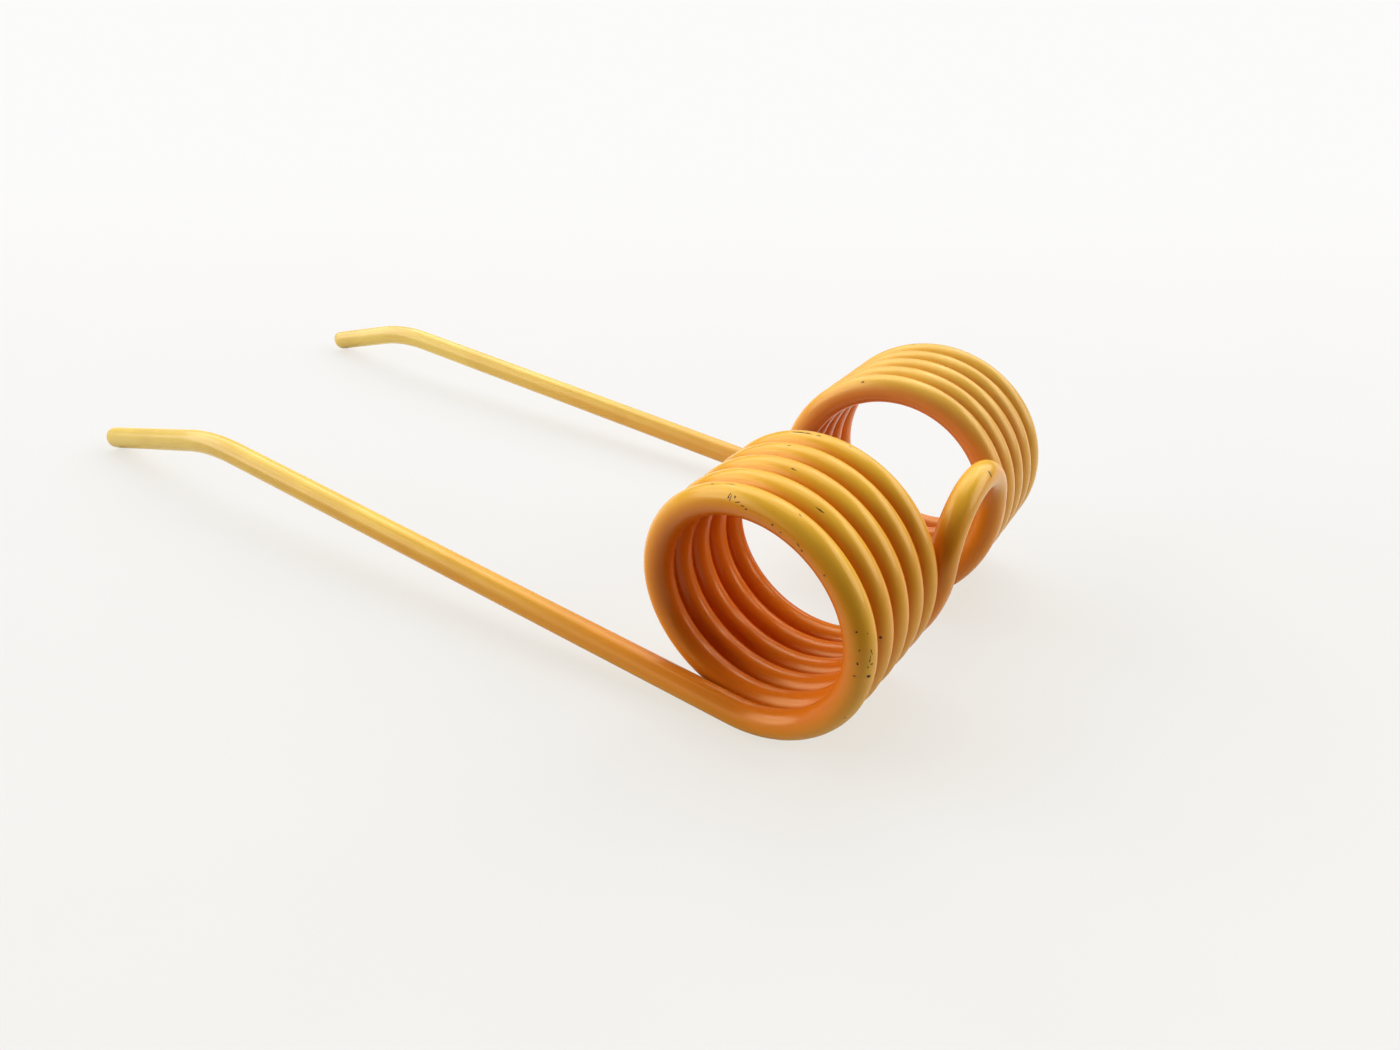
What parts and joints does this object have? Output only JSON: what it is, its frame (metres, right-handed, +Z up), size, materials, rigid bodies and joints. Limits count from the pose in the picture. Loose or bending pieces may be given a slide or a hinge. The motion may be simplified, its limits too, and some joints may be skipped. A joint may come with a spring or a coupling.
{
  "type": "spring tine",
  "caption": "Spring tine bent from steel wire: close wound coils joined by a clamping loop, with long arms whose ends turn down to comb hay.",
  "frame": {"origin": "middle of the line through both coils, halfway between them, with the tine lying as it rests", "axes": "+X from the tips towards the loop, +Y along the coils from the near coil to the far one, +Z up from the surface that it lies on"},
  "size_m": [0.3406, 0.1292, 0.071],
  "materials": {
    "paint": "glossy orange-yellow powder coat on spring steel wire, chipped in small specks on the outer turns"
  },
  "bodies": {
    "root": {"spring_tine": "paint"}
  },
  "joints": []
}
